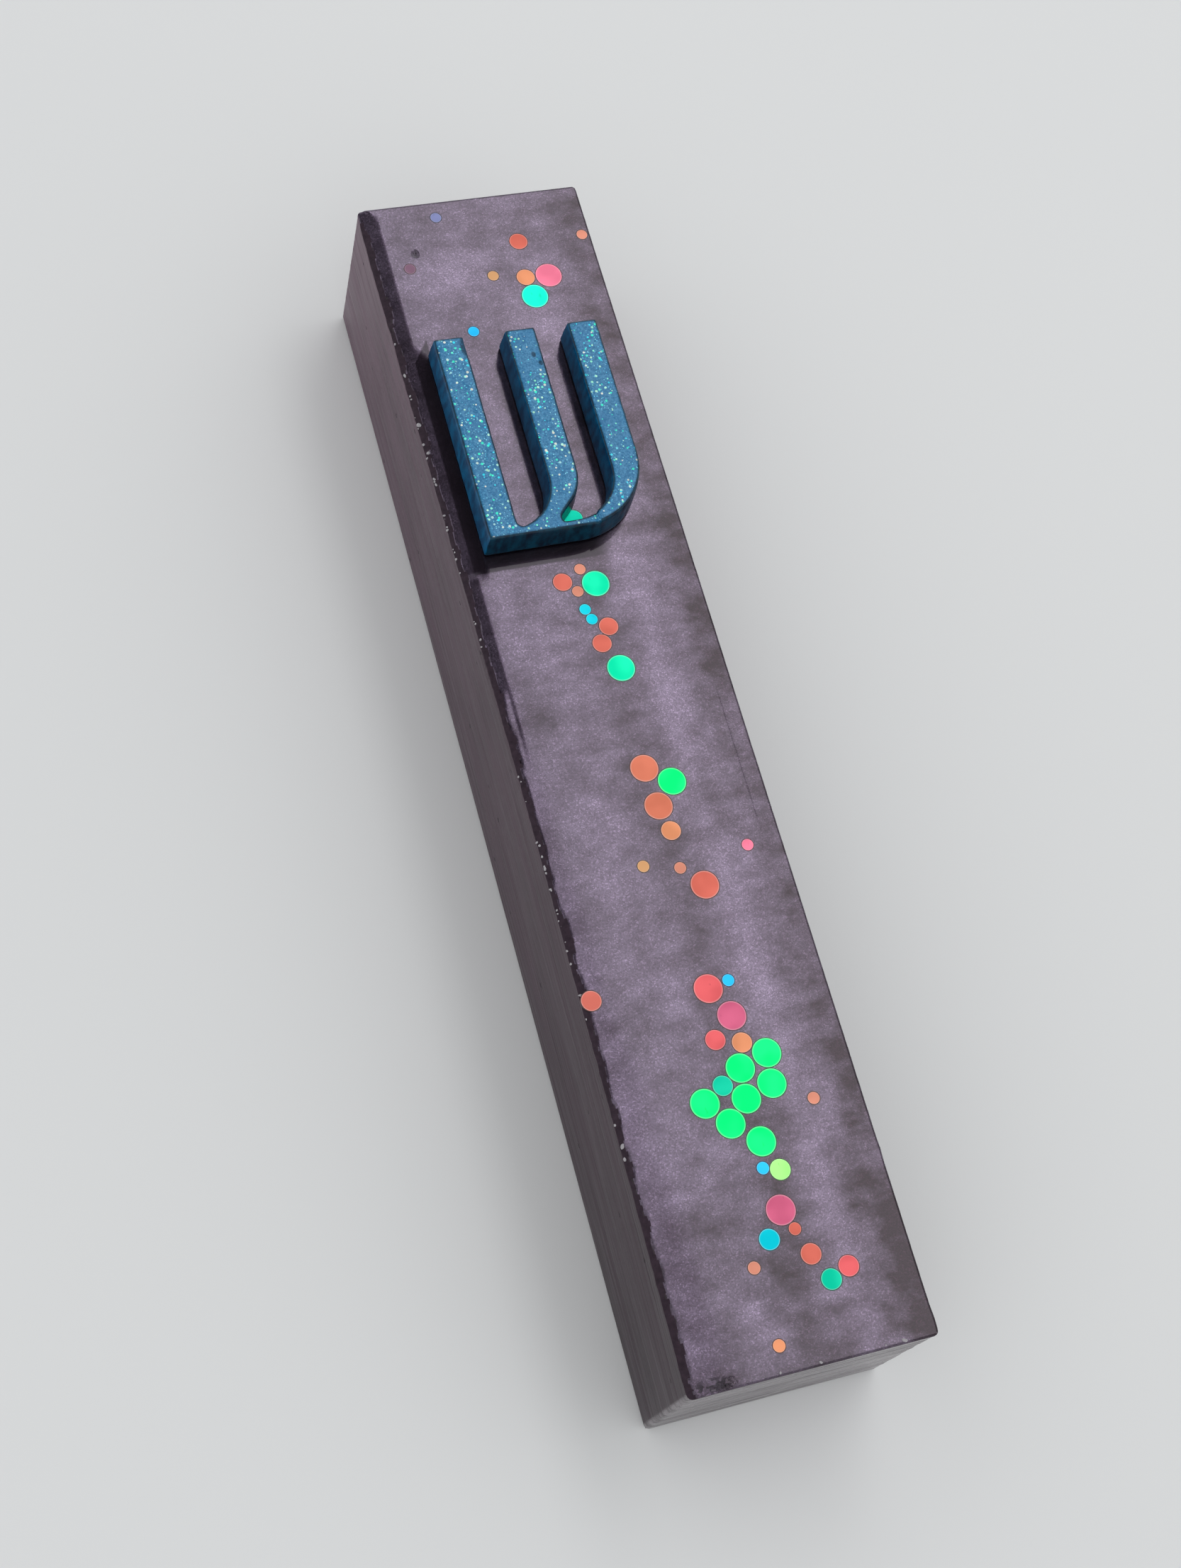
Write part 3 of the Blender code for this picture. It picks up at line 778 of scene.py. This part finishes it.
def make_case():
    """The cast block, with its chamber, the cover's rebate and nail slots, and the pads' recesses."""
    xs = lines(-HALF_WIDTH, HALF_WIDTH, 0.85, 0.17, 3.5)
    ys = lines(-HALF_LENGTH, HALF_LENGTH, 0.52, 0.17, 0.9)
    zs = lines(BACK, FACE, 0.2, 0.12, 0.6)
    bm = box_shell(xs, ys, zs)
    for vert in bm.verts:
        vert.co = case_point(*vert.co)
    finishes = (front_finish(), wall_finish(), chip_finish())
    case = from_bmesh("case_shell", bm, *finishes, angle=SHARP_ANGLE)
    below = BACK - CUT_PAST_BACK
    end, roof = HALF_LENGTH - CHAMBER_END_WALL, FACE - CHAMBER_FRONT_WALL
    cut_box(case, (-CHAMBER_HALF_WIDTH, -end, below), (CHAMBER_HALF_WIDTH, end, roof), CHAMBER_CORNER)
    cut_recess(case, "back_cover", COVER_ROOM, below, REBATE_CORNER)
    _, cover_high = (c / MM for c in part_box("back_cover"))
    side, end = cover_high.x + COVER_ROOM + NAIL_SLOT_REACH, NAIL_SLOT_HALF_LENGTH
    cut_box(case, (-side, -end, below), (side, end, cover_high.z), NAIL_SLOT_CORNER)
    for node in ("mounting_pad_upper", "mounting_pad_lower"):
        cut_recess(case, node, PAD_ROOM, below, PAD_RECESS_CORNER)
    mesh = case.data
    pearl = mesh.attributes.new("pearl", "FLOAT", "POINT")
    pearl.data.foreach_set("value", [pearl_at(v.co.x / MM, v.co.y / MM) for v in mesh.vertices])
    front_z = (FACE - FRONT_FADE) * MM
    for face in mesh.polygons:
        face.material_index = WALL
        if face.center.z > front_z:
            x, y = face.center.x / MM, face.center.y / MM
            if face.normal.z > 0.35 and lip_share(x, y) > 0.04:
                face.material_index = CHIP
            elif face.normal.z > 0.7:
                face.material_index = FRONT
    mesh.shade_smooth()
    mesh.set_sharp_from_angle(angle=math.radians(SHARP_ANGLE))
    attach(case, "case")
    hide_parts("case_body")


def make_beads():
    """Small clear beads and burrs of resin where the mould's halves met."""
    rng = random.Random(11)
    bm = bmesh.new()
    places = []
    for _ in range(SCATTERED_BEADS):
        y = rng.choice((rng.gauss(-12, 9), rng.uniform(-50, 56), rng.uniform(20, 44)))
        if abs(y) < 60:
            places.append((-HALF_WIDTH + edge_in(y) + rng.uniform(0.08, 0.20), y, rng.uniform(0.08, 0.17)))
    places += LEFT_BEADS
    places += [(x, -HALF_LENGTH + 0.35, radius) for x, radius in LOWER_BEADS]
    for x, y, radius in places:
        z = FACE - front_drop(x, y) - 0.35 * radius
        z = min(z, FACE + 0.25 - radius)
        turn = Matrix.Rotation(rng.uniform(0, 3), 4, "Z")
        squash = Matrix.Diagonal((1, rng.uniform(0.8, 1.7), 0.8, 1))
        matrix = Matrix.Translation((x, y, z)) @ (turn @ squash)
        made = bmesh.ops.create_icosphere(bm, subdivisions=2, radius=radius, matrix=matrix)
        for vert in made["verts"]:
            vert.co += Vector((1, 1, 1)) * 0.25 * radius * wave(*(vert.co * 5))
    beads = from_bmesh("edge_beads", bm, bead_finish())
    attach(beads, "case")


def make_letter():
    """The letter's own shape, remeshed and softened, with a notch, two hollows and low lumps."""
    letter = new_object("letter_casting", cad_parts["shin_letter"].data.copy())
    letter.data.materials.clear()
    letter.data.materials.append(letter_finish())
    remesh = letter.modifiers.new("even_mesh", "REMESH")
    remesh.mode = "VOXEL"
    remesh.voxel_size = LETTER_VOXEL * MM
    soften = letter.modifiers.new("soften", "SMOOTH")
    soften.factor, soften.iterations = 0.5, SOFTEN_STEPS
    applied(letter)
    low, high = (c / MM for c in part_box("shin_letter"))
    outward = [vert.normal.copy() for vert in letter.data.vertices]
    for vert, normal in zip(letter.data.vertices, outward):
        x, y, z = vert.co / MM
        height = smooth(z, low.z, high.z)
        past = NOTCH_X - x
        dip = NOTCH_DEPTH * smooth(past, 0, 0.22) * math.exp(-max(0.0, past) / NOTCH_RUN)
        dip *= smooth(NOTCH_Y - y, 0, 0.3) * smooth(z, 21.2, 23.3)
        hollow = sum(depth * hill(x, y, *place) for *place, depth in HOLLOWS)
        lump = 0.03 * (wave(x * 0.9, y * 0.9, z * 0.9) - 1) + 0.012 * (wave(x * 3, y * 3, z * 3) - 1)
        inward = normal * (lump - hollow * height)
        vert.co = (Vector((x, y, z - dip)) + inward) * MM
    upward = [normal.z for normal in outward]
    for _ in range(TOP_SPREAD_STEPS):
        sums, counts = list(upward), [1] * len(upward)
        for edge in letter.data.edges:
            one, two = edge.vertices
            sums[one] += upward[two]
            sums[two] += upward[one]
            counts[one] += 1
            counts[two] += 1
        upward = [total / count for total, count in zip(sums, counts)]
    letter.data.attributes.new("top", "FLOAT", "POINT").data.foreach_set("value", upward)
    letter.data.shade_smooth()
    letter.data.update()
    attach(letter, "case")
    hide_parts("shin_letter")


def ring(bm, radius, z):
    """A disc's slightly uneven ring of vertices."""
    made = []
    for i in range(DISC_SIDES):
        angle = 2 * math.pi * i / DISC_SIDES
        reach = radius * (1 + DISC_WOBBLE * wave(math.cos(angle) * 1.5, math.sin(angle) * 1.5, radius * 9))
        made.append(bm.verts.new((reach * math.cos(angle), reach * math.sin(angle), z)))
    return made


def bridge(bm, one, two, material=0):
    """Joins two rings with quads."""
    for i in range(len(one)):
        j = (i + 1) % len(one)
        bm.faces.new((one[i], one[j], two[j], two[i])).material_index = material


def make_discs():
    """Each glitter disc as a film disc with a dark ring of painted shade round it."""
    films = {name: disc_finish(name, colour) for name, colour in COLOURS.items()}
    films.update((node, disc_finish(node, colour)) for node, colour in ODD_DISCS.items())
    films["upper_green"] = disc_finish("upper_green", UPPER_GREEN)
    films["pale_orange"] = disc_finish("pale_orange", PALE_ORANGE)
    painted_shade_rings = {name: painted_shade_ring_finish(name, colour) for name, colour in COLOURS.items()}
    bottom, top = FACE - DISC_DEPTH, FACE + DISC_PROUD
    for node in sorted(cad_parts):
        if not node.startswith("glitter_"):
            continue
        colour = node.rsplit("_", 1)[1]
        low, high = (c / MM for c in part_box(node))
        radius = (high.x - low.x) / 2
        middle = Vector(((low.x + high.x) / 2, (low.y + high.y) / 2, 0))
        bm = bmesh.new()
        rings = [
            ring(bm, radius * share, z)
            for share, z in ((0.99, bottom), (1.0, top - 0.012), (0.985, top), (0.90, top), (0.45, top))
        ]
        for one, two in zip(rings, rings[1:]):
            bridge(bm, one, two)
        bm.faces.new(rings[-1])
        bm.faces.new(list(reversed(rings[0])))
        # A thin dark sheet round the disc, tinted like it: painted shade where the disc meets the resin
        line = [
            ring(bm, radius + reach, z)
            for reach, z in (
                (0.002, bottom),
                (0.002, FACE + 0.006),
                (SHADE_RING_WIDTH, FACE + 0.003),
                (SHADE_RING_WIDTH, bottom),
            )
        ]
        for one, two in zip(line, line[1:] + line[:1]):
            bridge(bm, one, two, 1)
        bmesh.ops.translate(bm, verts=bm.verts[:], vec=middle)
        bmesh.ops.recalc_face_normals(bm, faces=bm.faces[:])
        kind = colour
        if colour == "green" and middle.y > 0:
            kind = "upper_green"
        elif colour == "orange" and "large" not in node:
            kind = "pale_orange"
        film = films.get(node, films[kind])
        disc = from_bmesh(node.replace("glitter", "film"), bm, film, painted_shade_rings[colour])
        rim = disc.data.attributes.new("rim", "FLOAT", "POINT")
        values = []
        for vert in disc.data.vertices:
            reach = math.hypot(vert.co.x / MM - middle.x, vert.co.y / MM - middle.y)
            values.append(smooth(reach / radius, 0.91, 0.97))
        rim.data.foreach_set("value", values)
        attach(disc, "case")
        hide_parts(node)


def make_cover():
    """The cover's plate, with rounded edges and a chamfer for a fingernail on each long side."""
    low, high = (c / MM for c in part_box("back_cover"))
    xs = lines(low.x, high.x, 1.2, 0.12, 0.7)
    ys = lines(low.y, high.y, 1.2, 0.12, 0.7)
    zs = lines(low.z, high.z, 0.3, 0.1, 0.3)
    bm = box_shell(xs, ys, zs)
    for vert in bm.verts:
        x, y, z = vert.co
        across, ends = round_pair(high.x - abs(x), high.y - abs(y), COVER_CORNER)
        depth = min(z - low.z, high.z - z)
        if across <= ends:
            across, depth = round_pair(across, depth, COVER_EDGE)
        else:
            ends, depth = round_pair(ends, depth, COVER_EDGE)
        chamfer = COVER_CHAMFER * smooth(4.6 - abs(y), 0, 1.6) * smooth(low.z + 0.7 - z, 0, 0.5)
        across += chamfer * smooth(1.0 - across, 0, 1.0)
        new_z = low.z + depth if z < (low.z + high.z) / 2 else high.z - depth
        vert.co = (math.copysign(high.x - across, x), math.copysign(high.y - ends, y), new_z)
    cover = from_bmesh("back_plate", bm, cover_finish())
    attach(cover, "cover")
    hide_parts("back_cover")


def wound_sheet(steps, rows, thickness, centre_z, place_at):
    """A closed sheet wound round a line along Y. place_at takes a step round it and a share of its length,
    and gives the angle, y and inner radius there."""
    bm = bmesh.new()
    columns = []
    for step in range(steps + 1):
        column = []
        for row in range(rows + 1):
            angle, y, radius = place_at(step, row / rows)
            turned = Vector((math.cos(angle), 0, math.sin(angle)))
            middle = Vector((0, y, centre_z))
            column.append([bm.verts.new(turned * r + middle) for r in (radius, radius + thickness)])
        columns.append(column)
    for one, two in zip(columns, columns[1:]):
        for row in range(rows):
            for side in (0, 1):
                bm.faces.new((one[row][side], two[row][side], two[row + 1][side], one[row + 1][side]))
        for row in (0, rows):
            bm.faces.new((one[row][0], one[row][1], two[row][1], two[row][0]))
    for column in (columns[0], columns[-1]):
        for row in range(rows):
            bm.faces.new((column[row][0], column[row][1], column[row + 1][1], column[row + 1][0]))
    bmesh.ops.recalc_face_normals(bm, faces=bm.faces[:])
    return bm


def make_parchment():
    """One sheet in a spiral. Its layers end a little unevenly."""
    low, high = (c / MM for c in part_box("parchment_scroll"))
    half = (high.y - low.y) / 2 - ROLL_END_ROOM

    def place_at(step, share):
        turn = step / ROLL_TURN_STEPS
        creep = 0.30 * wave(turn * 0.8, 2.0) + 0.10 * wave(turn * 5.0, 4.0)
        y = (2 * share - 1) * half + creep * (1 if share > 0.5 else 0.7)
        ripple = 0.05 * wave(turn * 1.5, share * 3.0, 1.0)
        return 2 * math.pi * turn, y, ROLL_CORE + ROLL_PITCH * turn + ripple

    centre_z = (low.z + high.z) / 2 - 0.05
    bm = wound_sheet(ROLL_TURNS * ROLL_TURN_STEPS, ROLL_ROWS, ROLL_THICKNESS, centre_z, place_at)
    scroll = from_bmesh("rolled_parchment", bm, parchment_finish(), angle=50)
    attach(scroll, "scroll")
    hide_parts("parchment_scroll")


def make_sleeve():
    """A thin wrap of clear film, softly creased, its last edge lapped over its first."""
    low, high = (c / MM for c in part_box("scroll_sleeve"))
    outer, half = (high.x - low.x) / 2, (high.y - low.y) / 2

    def place_at(step, share):
        angle = SLEEVE_START + 2 * math.pi * step / SLEEVE_STEPS
        lap = SLEEVE_LAP * smooth(step, SLEEVE_STEPS - 6, SLEEVE_STEPS + 2)
        crease = 0.05 * wave(math.cos(angle) * 2.2, math.sin(angle) * 2.2, share * 7)
        return angle, (2 * share - 1) * half, outer - SLEEVE_INSET + lap + crease

    steps = SLEEVE_STEPS + SLEEVE_LAP_STEPS
    bm = wound_sheet(steps, SLEEVE_ROWS, SLEEVE_THICKNESS, (low.z + high.z) / 2, place_at)
    sleeve = from_bmesh("film_sleeve", bm, film_finish(), angle=60)
    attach(sleeve, "scroll")
    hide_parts("scroll_sleeve")


def make_pads():
    """Two foam pads with round corners and bulging, slightly rough sides."""
    finish = foam_finish()
    for node in ("mounting_pad_upper", "mounting_pad_lower"):
        low, high = (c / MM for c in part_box(node))
        middle, half_y = (low + high) / 2, (high.y - low.y) / 2
        xs = lines(low.x, high.x, 0.5, 0.14, 0.8)
        ys = lines(low.y, high.y, 0.5, 0.14, 0.8)
        zs = lines(low.z, high.z, 0.2, 0.1, 0.2)
        bm = box_shell(xs, ys, zs)
        for vert in bm.verts:
            x, y, z = vert.co
            across, ends = round_pair(high.x - abs(x), half_y - abs(y - middle.y), PAD_CORNER)
            bulge = PAD_BULGE * (1 - ((z - middle.z) / (middle.z - low.z)) ** 2)
            if min(across, ends) < 0.3:
                inset = PAD_SIDE_INSET - bulge + 0.03 * wave(x * 2, y * 2, z * 3)
                across += inset
                ends += inset
            new_y = middle.y + math.copysign(half_y - ends, y - middle.y)
            vert.co = (math.copysign(high.x - across, x), new_y, min(high.z, max(low.z, z)))
        pad = from_bmesh(node.replace("mounting_pad", "foam_pad"), bm, finish)
        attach(pad, "case")
        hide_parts(node)


# ---------------------------------------------------------------- stage, light and camera


def aim(obj, place, target, roll=0.0, upright=Vector((0, 0, 1))):
    """Puts a camera or lamp at place, looking at target. Its top is towards upright before it is rolled."""
    forward = (target - place).normalized()
    right = forward.cross(upright).normalized()
    above = right.cross(forward)
    turn = math.radians(roll)
    right, above = (
        right * math.cos(turn) + above * math.sin(turn),
        above * math.cos(turn) - right * math.sin(turn),
    )
    rotation = Matrix((right, above, -forward)).transposed()
    obj.matrix_world = Matrix.Translation(place) @ rotation.to_4x4()


def make_camera():
    """The camera that was solved from the photograph's corners of the block."""
    data = bpy.data.cameras.new("camera")
    data.lens = CAMERA_LENS
    data.sensor_width = CAMERA_SENSOR
    data.clip_start = 0.01
    camera = bpy.data.objects.new("camera", data)
    bpy.context.scene.collection.objects.link(camera)
    aim(camera, CAMERA_PLACE, CAMERA_TARGET, CAMERA_ROLL)
    bpy.context.scene.camera = camera


def make_softbox():
    """One rectangular area lamp, its long side along the case."""
    width, length = SOFTBOX_SIZE
    data = bpy.data.lights.new("softbox", "AREA")
    data.shape = "RECTANGLE"
    data.size, data.size_y = width, length
    data.energy = SOFTBOX_RADIANCE * math.pi * width * length
    lamp = bpy.data.objects.new("softbox", data)
    bpy.context.scene.collection.objects.link(lamp)
    place = SOFTBOX_DIRECTION.normalized() * SOFTBOX_DISTANCE
    aim(lamp, place, Vector((0, 0, 0)), upright=Vector((0, 1, 0)))


def make_room():
    """An even pale room, dimmer in one direction."""
    world = bpy.data.worlds.new("room")
    bpy.context.scene.world = world
    world.use_nodes = True
    nodes, links = world.node_tree.nodes, world.node_tree.links
    sky = nodes["Background"]
    sky.inputs["Color"].default_value = (*WORLD_COLOUR, 1)
    towards = nodes.new("ShaderNodeVectorMath")
    towards.operation = "DOT_PRODUCT"
    links.new(nodes.new("ShaderNodeTexCoord").outputs["Generated"], towards.inputs[0])
    towards.inputs[1].default_value = DIM_DIRECTION.normalized()
    level = nodes.new("ShaderNodeMapRange")
    level.interpolation_type = "SMOOTHSTEP"
    links.new(towards.outputs["Value"], level.inputs["Value"])
    level.inputs["From Min"].default_value, level.inputs["From Max"].default_value = (
        math.cos(math.radians(reach)) for reach in DIM_REACH
    )
    level.inputs["To Min"].default_value = WORLD_STRENGTH
    level.inputs["To Max"].default_value = DIM_STRENGTH
    links.new(level.outputs["Result"], sky.inputs["Strength"])


def make_table():
    """The pale table that the case lies on."""
    made = Finish("pale_table", Roughness=0.55, Specular_IOR_Level=0.2)
    made.set("Base Color", FLOOR_COLOUR)
    bm = bmesh.new()
    bmesh.ops.create_grid(bm, x_segments=1, y_segments=1, size=FLOOR_SIZE / 2)
    floor = from_bmesh("table", bm, made.material, scale=1.0)


bpy.context.scene.view_settings.view_transform = "Standard"
make_camera()
make_room()
make_table()
make_softbox()
make_case()
make_beads()
make_letter()
make_discs()
make_cover()
make_parchment()
make_sleeve()
make_pads()
